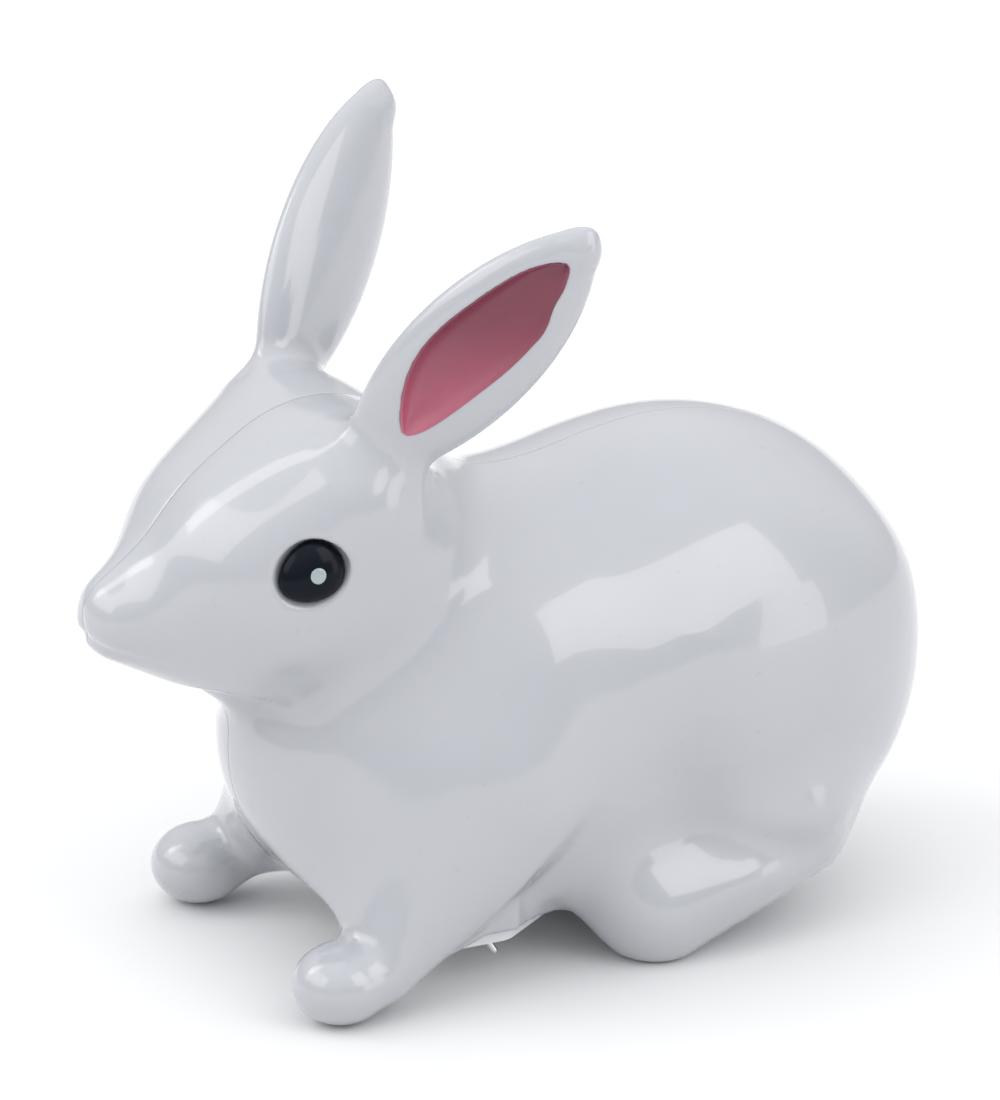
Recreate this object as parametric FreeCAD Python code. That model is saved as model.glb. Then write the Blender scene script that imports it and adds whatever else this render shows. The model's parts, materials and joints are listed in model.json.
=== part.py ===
import FreeCAD, Part
import math
import os

# Rabbit-shaped water bottle for small livestock. Millimetres, +Z up. The rabbit faces -Y and its left
# side is +X. The two shells meet at X = 0. Every part is saved with the origin on the ground below the
# middle of the rabbit's length, MIDDLE_Y behind the point that the dimensions are measured from.

V = FreeCAD.Vector

# ---- driving dimensions -------------------------------------------------------------------------
MIDDLE_Y = 2.32
WALL = 2.2                    # shell wall
FLOOR_Z = 12.0                # underside of the shells, where the base plate seats
FLOOR_T = 2.6                 # thickness of the shells' floor

# ellipsoids: centre y, centre z, radii x, y, z (all centred on the mid-plane)
RUMP = (38.0, 53.4, 38.8, 54.0, 49.7)
CHEST = (-9.5, 46.9, 35.1, 46.3, 40.5)
SKULL = (-36.8, 90.0, 29.0, 28.6, 28.9)
# ellipsoids off the mid-plane: centre x, y, z, radii x, y, z
BROW = (8.9, -52.0, 89.7, 13.7, 17.1, 14.2)
HAUNCH = (19.2, 47.4, 49.4, 17.7, 35.8, 35.6)
PAW = (33.5, -47.0, 7.9, 9.4, 10.0, 8.2)
# tapered limbs: first centre, first radius, second centre, second radius
NECK = ((0.0, 2.0, 67.0), 21.0, (0.0, -29.5, 85.7), 21.0)
MUZZLE = ((0.0, -51.5, 81.7), 23.6, (0.0, -77.5, 80.0), 9.8)
EAR_BASE = ((6.1, -57.8, 101.3), 6.7, (19.4, -37.1, 110.5), 9.3)
FRONT_LEG = ((17.8, -12.3, 39.4), 22.9, (34.0, -38.0, 10.0), 7.2)
HIND_FOOT = ((29.6, 24.3, 10.3), 12.7, (31.5, 54.5, 22.4), 10.3)
# gentle swellings of the flank: centre x, y, z, height, half width
FLANK_SWELLS = ((33.0, -1.7, 73.5, 2.8, 14.5), (40.8, 22.4, 60.8, 1.3, 14.8), (25.0, 80.0, 74.0, 2.4, 17.0))
# how far neighbouring forms melt into each other
MELT_TRUNK = 26.0
MELT_NECK = 15.5
MELT_MUZZLE = 9.0
MELT_BROW = 12.0
MELT_EAR_BASE = 8.4
MELT_HEAD = 9.0
MELT_HAUNCH = 15.0

# ears: a pointed leaf, the part that two equal ellipsoids share. In the ear's own frame x is the way
# its hollow side faces, y runs across it and z runs along it from the root.
EAR_ROOT = (19.5, -37.0, 109.3)
EAR_ALONG = (27.4, 37.0, 52.5)
EAR_FACING = (0.80, -0.45, -0.30)
LEAF_R = (7.3, 29.9, 44.9)    # radii of each of the two ellipsoids
LEAF_APART = 16.0             # each one's offset across the ear
LEAF_MIDDLE_Z = 35.3
LEAF_TIP_R = 3.4
LEAF_TIP_Z = 67.6
BOWL_CENTRE = (9.5, -1.2, 39.0)
BOWL_R = (9.5, 8.9, 27.0)
LINING_T = 0.8

# eyes
EYE_CENTRE = (27.0, -50.1, 93.5)
EYE_NORMAL = (0.96, -0.20, 0.20)
EYE_LONG_R = 6.9
EYE_SHORT_R = 5.9
EYE_DOME = 2.6
EYE_LONG_AXIS = (0.0, 0.90, 0.42)
EYE_STEM_R = 3.2
EYE_STEM_L = 5.0
EYE_SEAT_WALL = 1.8
SPOT_R = 1.6
SPOT_AT = (0.7, -0.7)
SPOT_DEPTH = 0.5

# base plate: corner points of the left side, front to rear, then mirrored
PLATE_T = 3.0
PLATE_EDGE = ((14.0, -30.5), (31.3, -22.0), (31.3, -9.0), (18.6, 9.0), (17.7, 56.0))
OPENING_EDGE = ((12.0, -20.5), (27.8, -18.5), (27.8, -8.5), (14.9, 9.5), (14.2, 45.0))
PLATE_CORNER_R = 5.0
PLATE_GAP = 0.2               # between the plate's rim and the feet
OPENING_CORNER_R = 4.0
PAN_MARGIN = 2.4              # how far the shells' flat underside reaches past the plate
PAN_H = 7.0
GASKET_T = 1.0
GASKET_W = 1.8
GASKET_GAP = 0.5
RIB_CLEAR = 0.3
RIB_W = 1.4
RIB_H = 3.0

# screws from below into bosses of the shells
SCREW_XY = ((10.0, -25.6), (-10.0, -25.6), (9.0, 51.0), (-9.0, 51.0))
SCREW_R = 1.5
SCREW_CLEAR_R = 1.7
SCREW_HEAD_R = 2.8
SCREW_HEAD_H = 1.8
SCREW_LENGTH = 11.0
BOSS_R = 4.0
BOSS_TOP_Z = 21.0

# filler and its quarter-turn cap
CAP_XY = (0.0, 26.0)
MOUTH_R = 11.0
NECK_R = 13.6
NECK_TOP_Z = 20.0
CAP_PLUG_R = 10.94
CAP_FLANGE_R = 15.0
CAP_BOTTOM_Z = 4.6
CAP_FLANGE_T = 4.0
CAP_PLUG_TOP_Z = 17.5
CAP_WALL = 1.8
LUG_R = 12.2
LUG_T = 1.6
LUG_Z = 15.0
LUG_HALF_DEG = 22.0
LUG_SIDE_GAP = 0.15
LUG_TOP_GAP = 0.05
CAP_FLUTES = 18
FLUTE_R = 1.0
FLUTE_MID_R = 15.35
GRIP_R = 11.8                 # recess under the cap with a finger bar across it
GRIP_DEPTH = 2.0
GRIP_BAR_W = 3.4
RING_R = 0.8                  # cap o-ring, half of its section
RING_MID_R = 13.45
RING_GAP = 0.05

# drinking valve on an inclined axis; w runs up the axis from the plate's underside
VALVE_POINT = (23.5, -12.0, 9.0)
VALVE_UP = (-0.29, -0.47, 0.83)
VALVE_R = 4.0
BOSS_WALL = 1.2
BOSS_GAP = 0.3
BOSS_W = 16.0
BODY_W0 = 4.0
BODY_W1 = 22.0
DRIP_R = 1.90
NECK_BORE_R = 1.25
CHAMBER_R = 2.70
DRIP_TOP_W = 8.5
SEAT_W = 10.5
EXIT_R = 1.35
PIN_R = 0.80
PIN_END_W = -6.4
PIN_FLANGE_R = 1.84
PIN_FLANGE_W = (4.05, 5.25)
BALL_R = 1.90
CONTACT_GAP = 0.05
SPRING_R = 1.55
SPRING_WIRE_R = 0.22
SPRING_TURNS = 4
RETAINER_W = (19.4, 21.4)
RETAINER_HOLE_R = 1.4
O_RING_W = (12.0, 13.8)
O_RING_DEPTH = 0.7

# ---- small helpers ------------------------------------------------------------------------------


def ellipsoid(centre, radii):
    stretch = FreeCAD.Matrix()
    stretch.scale(*radii)
    ball = Part.makeSphere(1.0).transformGeometry(stretch)
    ball.translate(V(*centre))
    return ball


def frame_matrix(up, hint):
    """Rotation whose local z is up and whose local x lies closest to hint."""
    z = V(*up).normalize()
    x = V(*hint)
    x = (x - z * x.dot(z)).normalize()
    y = z.cross(x)
    return FreeCAD.Matrix(x.x, y.x, z.x, 0, x.y, y.y, z.y, 0, x.z, y.z, z.z, 0, 0, 0, 0, 1)


def round_limb(a, ra, b, rb):
    """Solid hull of two balls: a cone frustum tangent to both, closed by the balls."""
    pa = V(*a)
    pb = V(*b)
    along = pb - pa
    dist = along.Length
    axis = V(along).normalize()
    s = (ra - rb) / dist
    c = math.sqrt(1.0 - s * s)
    cone = Part.makeCone(ra * c, rb * c, dist + (rb - ra) * s, pa + axis * (ra * s), axis)
    return Part.makeSphere(ra, pa).fuse([cone, Part.makeSphere(rb, pb)])


def soft_min(a, b, melt):
    h = max(melt - abs(a - b), 0.0) / melt
    return min(a, b) - h * h * melt / 4.0


def far_from_ellipsoid(x, y, z, cx, cy, cz, rx, ry, rz):
    dx = x - cx
    dy = y - cy
    dz = z - cz
    k0 = math.sqrt((dx / rx) ** 2 + (dy / ry) ** 2 + (dz / rz) ** 2)
    k1 = math.sqrt((dx / rx ** 2) ** 2 + (dy / ry ** 2) ** 2 + (dz / rz ** 2) ** 2) + 1e-9
    return k0 * (k0 - 1.0) / k1


def far_from_limb(x, y, z, a, ra, b, rb):
    """Distance to a round_limb of the same numbers."""
    ax = V(b[0] - a[0], b[1] - a[1], b[2] - a[2])
    rel = V(x - a[0], y - a[1], z - a[2])
    length = ax.Length
    along = rel.dot(ax) / length
    across = math.sqrt(max(rel.dot(rel) - along * along, 0.0))
    s = (ra - rb) / length
    c = math.sqrt(1.0 - s * s)
    foot_point = along - across * s / c
    if foot_point <= 0.0:
        return rel.Length - ra
    if foot_point >= length:
        return math.sqrt(across ** 2 + (along - length) ** 2) - rb
    return across * c + along * s - ra


def far_from_rabbit(x, y, z):
    """Distance outside (+) or inside (-) the smooth trunk, neck, head and haunches."""
    x = abs(x)
    trunk = soft_min(
        far_from_ellipsoid(x, y, z, 0.0, *RUMP),
        far_from_ellipsoid(x, y, z, 0.0, *CHEST), MELT_TRUNK)
    trunk = soft_min(trunk, far_from_limb(x, y, z, *NECK), MELT_NECK)
    head = soft_min(
        far_from_ellipsoid(x, y, z, 0.0, *SKULL), far_from_limb(x, y, z, *MUZZLE), MELT_MUZZLE)
    head = soft_min(head, far_from_ellipsoid(x, y, z, *BROW), MELT_BROW)
    head = soft_min(head, far_from_limb(x, y, z, *EAR_BASE), MELT_EAR_BASE)
    whole = soft_min(trunk, head, MELT_HEAD)
    whole = soft_min(whole, far_from_ellipsoid(x, y, z, *HAUNCH), MELT_HAUNCH)
    for cx, cy, cz, height, half_width in FLANK_SWELLS:
        away = (x - cx) ** 2 + (y - cy) ** 2 + (z - cz) ** 2
        whole -= height * math.exp(-away / half_width ** 2)
    return whole


def reach(origin, direction, inset):
    """Distance along direction from origin to where the rabbit's depth equals inset."""
    lo, hi = 0.0, 4.0
    while hi < 110.0:
        p = origin + direction * hi
        if far_from_rabbit(p.x, p.y, p.z) > -inset:
            break
        lo = hi
        hi += 4.0
    for _ in range(14):
        mid = (lo + hi) / 2.0
        p = origin + direction * mid
        if far_from_rabbit(p.x, p.y, p.z) > -inset:
            hi = mid
        else:
            lo = mid
    return (lo + hi) / 2.0


# Section planes between rump and nose: middle of the section (y, z) and the tilt of the plane from
# vertical, in degrees, positive when its top leans towards the nose.
SECTIONS = (
    (76.0, 56.0, 0.0), (68.0, 55.5, 0.0), (59.0, 55.0, 0.0), (50.0, 54.5, 0.0), (41.0, 54.0, 0.0),
    (32.0, 54.0, 0.0), (23.0, 54.0, 0.0), (14.0, 54.0, 1.0), (5.0, 55.0, 3.0), (-4.0, 56.5, 7.0),
    (-12.0, 59.0, 13.0), (-19.5, 62.5, 20.0), (-26.0, 67.0, 27.0), (-31.5, 71.5, 32.0),
    (-37.0, 76.0, 35.0), (-42.5, 79.5, 34.0), (-48.0, 82.0, 29.0), (-54.0, 83.0, 22.0),
    (-60.0, 83.0, 15.0), (-66.0, 82.5, 8.0), (-72.0, 81.5, 3.0))
END_STEPS = (8.0, 4.5, 2.0, 0.6, 0.08)    # further sections, this far from the rump's or nose's end
RUMP_END_Z = 56.0
NOSE_END_Z = 80.5
RAYS = 21                                 # from the belly line round the side to the back line


def section_points(y, z, tilt, inset):
    """Points of the left side of a section, from the belly line to the back line."""
    lean = math.radians(tilt)
    up = V(0.0, -math.sin(lean), math.cos(lean))
    side = V(1.0, 0.0, 0.0)
    middle = V(0.0, y, z)
    points = []
    for i in range(RAYS):
        turn = math.pi * i / (RAYS - 1)
        direction = side * math.sin(turn) - up * math.cos(turn)
        points.append(middle + direction * reach(middle, direction, inset))
    points[0].x = 0.0
    points[-1].x = 0.0
    # a level pole beside each mid-plane point keeps the two halves tangent at the seam
    near_first = V(points[0] + side * (points[1].x * 0.35))
    near_last = V(points[-1] + side * (points[-2].x * 0.35))
    return [points[0], near_first] + points[1:-1] + [near_last, points[-1]]


def clamped(count):
    mults = [4] + [1] * (count - 4) + [4]
    return mults, [float(i) for i in range(len(mults))]


def skin(inset):
    """The left half of the smooth trunk and head as one solid, moved inwards by inset."""
    rump_mid = V(0.0, 60.0, RUMP_END_Z)
    nose_mid = V(0.0, -70.0, NOSE_END_Z)
    rump_y = 60.0 + reach(rump_mid, V(0, 1, 0), inset)
    nose_y = -70.0 - reach(nose_mid, V(0, -1, 0), inset)
    planes = [(rump_y - step, RUMP_END_Z, 0.0) for step in reversed(END_STEPS)]
    planes += [p for p in SECTIONS if nose_y + 10.0 < p[0] < rump_y - 10.0]
    planes += [(nose_y + step, NOSE_END_Z, 0.0) for step in END_STEPS]
    rows = [section_points(y, z, tilt, inset) for y, z, tilt in planes]
    u_mults, u_knots = clamped(len(rows))
    v_mults, v_knots = clamped(len(rows[0]))
    surface = Part.BSplineSurface()
    surface.buildFromPolesMultsKnots(
        rows, u_mults, v_mults, u_knots, v_knots, False, False, 3, 3)
    ends = [surface.uIso(u_knots[0]).toShape(), surface.uIso(u_knots[-1]).toShape()]
    rails = [surface.vIso(v_knots[0]).toShape(), surface.vIso(v_knots[-1]).toShape()]
    faces = [surface.toShape()]
    chords = []
    for end in ends:
        chord = Part.makeLine(end.Vertexes[0].Point, end.Vertexes[-1].Point)
        chords.append(chord)
        faces.append(Part.Face(Part.Wire(Part.__sortEdges__([end, chord]))))
    faces.append(Part.Face(Part.Wire(Part.__sortEdges__(rails + chords))))
    sewn = Part.Compound(faces)
    sewn.sewShape(0.001)
    solid = Part.Solid(sewn.Shells[0])
    if solid.Volume < 0:
        solid.reverse()
    return solid


def cylinder(r, h, pos, axis=(0, 0, 1)):
    return Part.makeCylinder(r, h, V(*pos), V(*axis))


def outline(edge, corner_r, offset=0.0):
    """Closed wire at z = 0 through the left points and their mirror, with rounded corners."""
    points = [V(x, y, 0) for x, y in edge]
    points += [V(-x, y, 0) for x, y in reversed(edge)]
    wire = Part.makePolygon(points + [points[0]])
    inner = wire.makeOffset2D(-corner_r)
    return inner.makeOffset2D(corner_r + offset)


def slab(edge, corner_r, offset, z0, z1):
    face = Part.Face(outline(edge, corner_r, offset))
    face.translate(V(0, 0, z0))
    return face.extrude(V(0, 0, z1 - z0))


def on_valve(w):
    return V(*VALVE_POINT) + V(*VALVE_UP).normalize() * w


def valve_cylinder(r, w0, w1):
    return Part.makeCylinder(r, w1 - w0, on_valve(w0), V(*VALVE_UP).normalize())


def placed(shape, turn, origin):
    """shape moved from a local frame into the rabbit's."""
    shape = shape.transformGeometry(turn)
    shape.translate(V(*origin))
    return shape


def left_side_above(z):
    """Everything on the rabbit's left that lies higher than z."""
    return Part.makeBox(80.0, 220.0, 220.0, V(0.0, -110.0, z))


def save(shape, name):
    if len(shape.Solids) == 1:
        shape = shape.Solids[0]
    shape.translated(V(0, -MIDDLE_Y, 0)).exportStep("parts/%s.step" % name)


def save_right(shape, name):
    save(shape.mirror(V(0, 0, 0), V(1, 0, 0)), "right_" + name)


def save_pair(shape, name):
    save(shape, "left_" + name)
    save_right(shape, name)


os.makedirs("parts", exist_ok=True)

# ---- ears ---------------------------------------------------------------------------------------
ear_turn = frame_matrix(EAR_ALONG, EAR_FACING)
leaf = ellipsoid((0.0, LEAF_APART, LEAF_MIDDLE_Z), LEAF_R)
leaf = leaf.common(ellipsoid((0.0, -LEAF_APART, LEAF_MIDDLE_Z), LEAF_R))
leaf = leaf.fuse(Part.makeSphere(LEAF_TIP_R, V(0, 0, LEAF_TIP_Z)))
bowl = ellipsoid(BOWL_CENTRE, BOWL_R)
bowl_front = ellipsoid((BOWL_CENTRE[0] + LINING_T, BOWL_CENTRE[1], BOWL_CENTRE[2]), BOWL_R)
lining = placed(leaf.common(bowl).cut(bowl_front), ear_turn, EAR_ROOT)
leaf = placed(leaf, ear_turn, EAR_ROOT)
bowl = placed(bowl, ear_turn, EAR_ROOT)

# ---- eyes: a dome on a stem that is pressed into a seat of the shell ----------------------------
eye_turn = frame_matrix(EYE_NORMAL, EYE_LONG_AXIS)
eye_dome = ellipsoid((0, 0, 0), (EYE_LONG_R, EYE_SHORT_R, EYE_DOME))
eye = eye_dome.fuse(cylinder(EYE_STEM_R, EYE_STEM_L, (0, 0, -EYE_STEM_L))).removeSplitter()
spot = cylinder(SPOT_R, EYE_DOME, (*SPOT_AT, EYE_DOME - SPOT_DEPTH)).common(eye_dome)
eye_seat = cylinder(EYE_STEM_R + EYE_SEAT_WALL, EYE_STEM_L + 0.5, (0, 0, -EYE_STEM_L - 1.5))
eye = placed(eye, eye_turn, EYE_CENTRE)
spot = placed(spot, eye_turn, EYE_CENTRE)
eye_seat = placed(eye_seat, eye_turn, EYE_CENTRE)

# ---- shells -------------------------------------------------------------------------------------
floor_top = FLOOR_Z + FLOOR_T
standing = left_side_above(0.0)
outer = skin(0.0).common(left_side_above(FLOOR_Z))
for form in (slab(PLATE_EDGE, PLATE_CORNER_R, PAN_MARGIN, FLOOR_Z, FLOOR_Z + PAN_H),
             round_limb(*FRONT_LEG), round_limb(*HIND_FOOT), ellipsoid(PAW[:3], PAW[3:]), leaf):
    outer = outer.fuse(form.common(standing))

hollow = skin(WALL).common(left_side_above(floor_top))
over_plate = slab(PLATE_EDGE, PLATE_CORNER_R, PLATE_GAP + WALL, 0.0, floor_top)
limb_room = left_side_above(WALL).cut(over_plate)
for a, ra, b, rb in (FRONT_LEG, HIND_FOOT):
    hollow = hollow.fuse(round_limb(a, ra - WALL, b, rb - WALL).common(limb_room))
shell = outer.cut(hollow)

left_screws = [(x, y) for x, y in SCREW_XY if x > 0]
for x, y in left_screws:
    shell = shell.fuse(cylinder(BOSS_R, BOSS_TOP_Z - FLOOR_Z, (x, y, FLOOR_Z)))
shell = shell.fuse(eye_seat)
shell = shell.cut(slab(OPENING_EDGE, OPENING_CORNER_R, 0.0, FLOOR_Z - 5.0, FLOOR_Z + 16.0))
for x, y in left_screws:
    shell = shell.cut(cylinder(SCREW_R, SCREW_LENGTH, (x, y, FLOOR_Z - PLATE_T)))
shell = shell.cut(slab(PLATE_EDGE, PLATE_CORNER_R, PLATE_GAP, -1.0, FLOOR_Z))
shell = shell.cut(bowl)
shell = shell.cut(eye)
shell = max(shell.Solids, key=lambda solid: solid.Volume)
save_right(shell, "body_shell")
valve_room = valve_cylinder(VALVE_R + BOSS_WALL + BOSS_GAP, -2.0, BODY_W1 + 2.0)
save(shell.cut(valve_room), "left_body_shell")
save_pair(lining, "ear_lining")
save_pair(eye.cut(spot), "eye")
save_pair(spot, "eye_spot")

# ---- base plate and gasket ----------------------------------------------------------------------
plate_z = FLOOR_Z - PLATE_T
cap_x, cap_y = CAP_XY


def countersink(x, y, neck_r):
    """A screw head's cone, or the room for it."""
    return Part.makeCone(SCREW_HEAD_R, neck_r, SCREW_HEAD_H, V(x, y, plate_z), V(0, 0, 1))


plate = slab(PLATE_EDGE, PLATE_CORNER_R, 0.0, plate_z, FLOOR_Z)
groove = slab(OPENING_EDGE, OPENING_CORNER_R, GASKET_GAP + GASKET_W, FLOOR_Z - GASKET_T, FLOOR_Z)
groove = groove.cut(slab(OPENING_EDGE, OPENING_CORNER_R, GASKET_GAP, FLOOR_Z - 5.0, FLOOR_Z + 5.0))
rib = slab(OPENING_EDGE, OPENING_CORNER_R, -RIB_CLEAR, FLOOR_Z - 0.5, FLOOR_Z + RIB_H)
rib = rib.cut(slab(OPENING_EDGE, OPENING_CORNER_R, -RIB_CLEAR - RIB_W, 0.0, FLOOR_Z + 9.0))
neck = cylinder(NECK_R, NECK_TOP_Z - plate_z, (cap_x, cap_y, plate_z))
valve_boss = valve_cylinder(VALVE_R + BOSS_WALL, -4.0, BOSS_W)
valve_boss = valve_boss.common(Part.makeBox(80.0, 80.0, 60.0, V(-20.0, -60.0, plate_z)))
plate = plate.cut(groove).fuse([rib, neck, valve_boss])
plate = plate.cut([cylinder(MOUTH_R, 30.0, (cap_x, cap_y, 0.0)),
                   valve_cylinder(VALVE_R, BODY_W0, 30.0),
                   valve_cylinder(EXIT_R, -9.0, BODY_W0 + 1.0)])


def cap_sector(r, z0, z1, half_deg, mid_deg):
    """Pie slice about the cap's axis."""
    slice_ = Part.makeCylinder(r, z1 - z0, V(cap_x, cap_y, z0), V(0, 0, 1), 2.0 * half_deg)
    slice_.rotate(V(cap_x, cap_y, 0), V(0, 0, 1), mid_deg - half_deg)
    return slice_


# slots that let the lugs in, then the quarter-turn groove they run in
lug_track_r = LUG_R + LUG_SIDE_GAP
for mid in (90.0, 270.0):
    plate = plate.cut(cap_sector(lug_track_r, plate_z - 1.0, LUG_Z + LUG_T + 0.3, LUG_HALF_DEG + 2.0, mid))
for mid in (45.0, 225.0):
    plate = plate.cut(cap_sector(lug_track_r, LUG_Z - LUG_TOP_GAP, LUG_Z + LUG_T + LUG_TOP_GAP,
                                 LUG_HALF_DEG + 47.0, mid))
for x, y in SCREW_XY:
    plate = plate.cut([cylinder(SCREW_CLEAR_R, 12.0, (x, y, plate_z - 1.0)),
                       countersink(x, y, SCREW_CLEAR_R)])
save(plate, "base_plate")
save(groove, "base_gasket")

# ---- screws -------------------------------------------------------------------------------------
screws = []
for x, y in SCREW_XY:
    screw = countersink(x, y, SCREW_R).fuse(cylinder(SCREW_R, SCREW_LENGTH - 0.6, (x, y, plate_z)))
    for turn in (0.0, 90.0):
        slot = Part.makeBox(3.0, 0.7, 1.0, V(x - 1.5, y - 0.35, plate_z))
        slot.rotate(V(x, y, 0), V(0, 0, 1), turn)
        screw = screw.cut(slot)
    screws.append(screw.removeSplitter())
save(Part.makeCompound(screws), "base_screws")

# ---- filler cap ---------------------------------------------------------------------------------
flange_top = CAP_BOTTOM_Z + CAP_FLANGE_T
flange = cylinder(CAP_FLANGE_R, CAP_FLANGE_T, (cap_x, cap_y, CAP_BOTTOM_Z))
plug = cylinder(CAP_PLUG_R, CAP_PLUG_TOP_Z - flange_top, (cap_x, cap_y, flange_top))
lugs = [cap_sector(LUG_R, LUG_Z, LUG_Z + LUG_T, LUG_HALF_DEG, mid) for mid in (0.0, 180.0)]
cap = flange.fuse([plug] + lugs)
cap = cap.cut(cylinder(CAP_PLUG_R - CAP_WALL, 20.0, (cap_x, cap_y, flange_top)))
for i in range(CAP_FLUTES):
    turn = 2.0 * math.pi * (i + 0.5) / CAP_FLUTES
    x = cap_x + FLUTE_MID_R * math.cos(turn)
    y = cap_y + FLUTE_MID_R * math.sin(turn)
    cap = cap.cut(cylinder(FLUTE_R, CAP_FLANGE_T + 2.0, (x, y, CAP_BOTTOM_Z - 1.0)))
# finger bar across a round recess in the underside
recess = cylinder(GRIP_R, GRIP_DEPTH, (cap_x, cap_y, CAP_BOTTOM_Z))
bar = Part.makeBox(2.0 * GRIP_R, GRIP_BAR_W, GRIP_DEPTH,
                   V(cap_x - GRIP_R, cap_y - GRIP_BAR_W / 2.0, CAP_BOTTOM_Z))
for pocket in recess.cut(bar).Solids:
    cap = cap.cut(pocket)
ring_z = plate_z - RING_R
seat = cylinder(RING_MID_R + RING_R + RING_GAP, 9.0, (cap_x, cap_y, ring_z - RING_R))
cap = cap.cut(seat.cut(cylinder(RING_MID_R - RING_R - RING_GAP, 30.0, (cap_x, cap_y, 0.0))))
save(cap, "filler_cap")
save(Part.makeTorus(RING_MID_R, RING_R, V(cap_x, cap_y, ring_z)), "cap_o_ring")

# ---- drinking valve -----------------------------------------------------------------------------
body = valve_cylinder(VALVE_R, BODY_W0, BODY_W1)
body = body.cut([valve_cylinder(DRIP_R, BODY_W0 - 1.0, DRIP_TOP_W),
                 valve_cylinder(NECK_BORE_R, DRIP_TOP_W - 1.0, SEAT_W + 1.0),
                 valve_cylinder(CHAMBER_R, SEAT_W, BODY_W1 + 1.0)])
seal = valve_cylinder(VALVE_R, *O_RING_W).cut(valve_cylinder(VALVE_R - O_RING_DEPTH, 0.0, 20.0))
body = body.cut(seal)
save(body, "valve_body")
save(seal, "valve_o_ring")
ball_w = SEAT_W + math.sqrt(BALL_R ** 2 - NECK_BORE_R ** 2)
ball = Part.makeSphere(BALL_R, on_valve(ball_w + 0.01))
save(ball, "valve_ball")
pin_top_w = ball_w - BALL_R - CONTACT_GAP
pin = valve_cylinder(PIN_R, PIN_END_W + PIN_R, pin_top_w)
flange_w0, flange_w1 = PIN_FLANGE_W
pin = pin.fuse([Part.makeSphere(PIN_R, on_valve(PIN_END_W + PIN_R)),
                valve_cylinder(PIN_FLANGE_R, flange_w0, flange_w1)])
valve_turn = frame_matrix(VALVE_UP, (1.0, 0.0, 0.0))
for i in range(3):
    notch = Part.makeBox(1.2, 1.1, 3.0, V(1.15, -0.55, flange_w0 - 0.5))
    notch.rotate(V(0, 0, 0), V(0, 0, 1), 120.0 * i)
    notch = notch.transformGeometry(valve_turn)
    notch.translate(V(*VALVE_POINT))
    pin = pin.cut(notch)
save(pin, "trigger_pin")
retainer_w0, retainer_w1 = RETAINER_W
retainer = valve_cylinder(CHAMBER_R, retainer_w0, retainer_w1)
retainer = retainer.cut(valve_cylinder(RETAINER_HOLE_R, 0.0, 30.0))
save(retainer, "valve_retainer")
spring_w0 = ball_w + 1.20 + SPRING_WIRE_R
spring_len = retainer_w0 - SPRING_WIRE_R - spring_w0
# the wire's section is a twelve-sided polygon, so that a mesh of it keeps its volume
corner_turns = [math.radians(30.0 * j) for j in range(13)]
rings = []
for i in range(16 * SPRING_TURNS + 1):
    ring = Part.makePolygon([V(SPRING_R + SPRING_WIRE_R * math.cos(a), 0, SPRING_WIRE_R * math.sin(a))
                             for a in corner_turns])
    ring.rotate(V(0, 0, 0), V(0, 0, 1), 22.5 * i)
    ring.translate(V(0, 0, spring_len * i / (16 * SPRING_TURNS)))
    rings.append(ring)
spring = Part.makeLoft(rings, True, False)
spring = spring.transformGeometry(valve_turn)
spring.translate(on_valve(spring_w0))
save(spring, "valve_spring")
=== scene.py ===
"""Look of the rabbit water bottle: smooth glossy shells, painted ears, domed eyes and the belly fittings."""

import json
import math

import bmesh
import bpy
import numpy as np
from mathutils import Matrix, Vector


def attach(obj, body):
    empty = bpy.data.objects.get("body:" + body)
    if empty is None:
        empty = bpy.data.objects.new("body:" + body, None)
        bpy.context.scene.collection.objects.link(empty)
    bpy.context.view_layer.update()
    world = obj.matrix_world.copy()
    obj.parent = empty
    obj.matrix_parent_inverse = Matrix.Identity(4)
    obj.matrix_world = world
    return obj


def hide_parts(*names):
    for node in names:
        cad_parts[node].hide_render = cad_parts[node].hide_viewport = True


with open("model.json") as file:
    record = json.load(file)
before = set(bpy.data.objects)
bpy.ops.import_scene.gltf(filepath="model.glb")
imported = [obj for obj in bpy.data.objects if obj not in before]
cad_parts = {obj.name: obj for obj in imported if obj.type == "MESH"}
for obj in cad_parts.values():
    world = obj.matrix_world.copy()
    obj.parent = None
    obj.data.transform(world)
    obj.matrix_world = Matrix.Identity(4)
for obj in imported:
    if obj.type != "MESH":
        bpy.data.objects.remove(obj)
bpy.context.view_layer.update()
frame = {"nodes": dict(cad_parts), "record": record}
MM = 0.001
SIDES = (("left", 1.0), ("right", -1.0))

# ---- the rabbit's form, in millimetres ----------------------------------------------------------
MIDDLE_Y = 2.32               # the form is measured from this far ahead of the origin
GRID = 0.8
GRID_LOW = (-2.0, -92.0, -2.0)
GRID_HIGH = (56.0, 96.0, 168.0)
WALL = 2.2
SEAM_GAP = 0.03               # each half stays this far from the mid-plane
SEAM_BEVEL = 0.20             # width and depth of the soft edge beside the parting line
SEAM_DEPTH = 0.04
FLOOR_Z = 12.0                # the shells' flat underside, where the base plate seats

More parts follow.
